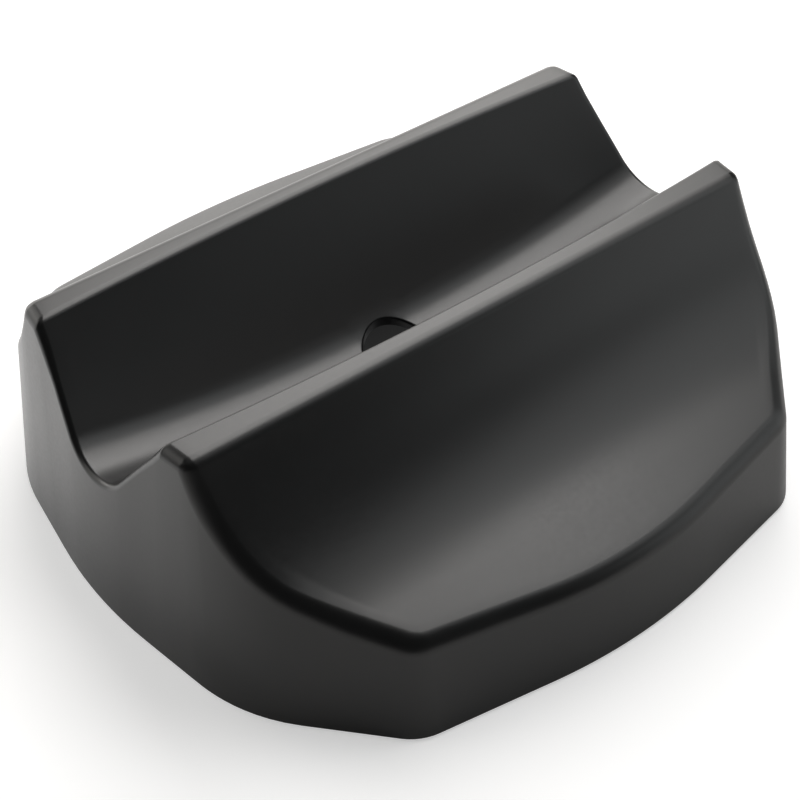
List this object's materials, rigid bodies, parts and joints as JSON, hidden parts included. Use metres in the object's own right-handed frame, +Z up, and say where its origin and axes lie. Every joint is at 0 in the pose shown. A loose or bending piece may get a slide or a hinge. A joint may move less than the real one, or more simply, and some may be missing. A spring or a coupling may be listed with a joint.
{
  "type": "bike trainer front riser block",
  "caption": "Low black plastic block with a lengthwise wheel trough that lifts and steadies a bicycle's front wheel on an indoor trainer.",
  "frame": {"origin": "on the floor below the middle of the block", "axes": "+X along the wheel trough, +Y across it, +Z up"},
  "size_m": [0.2738, 0.2682, 0.0952],
  "materials": {
    "shell_plastic": "satin black moulded polypropylene with a very fine even texture",
    "foot_rubber": "matt black rubber"
  },
  "bodies": {
    "root": {"shell": "shell_plastic", "foot_front_left": "foot_rubber", "foot_front_right": "foot_rubber", "foot_back_left": "foot_rubber", "foot_back_right": "foot_rubber"}
  },
  "joints": []
}
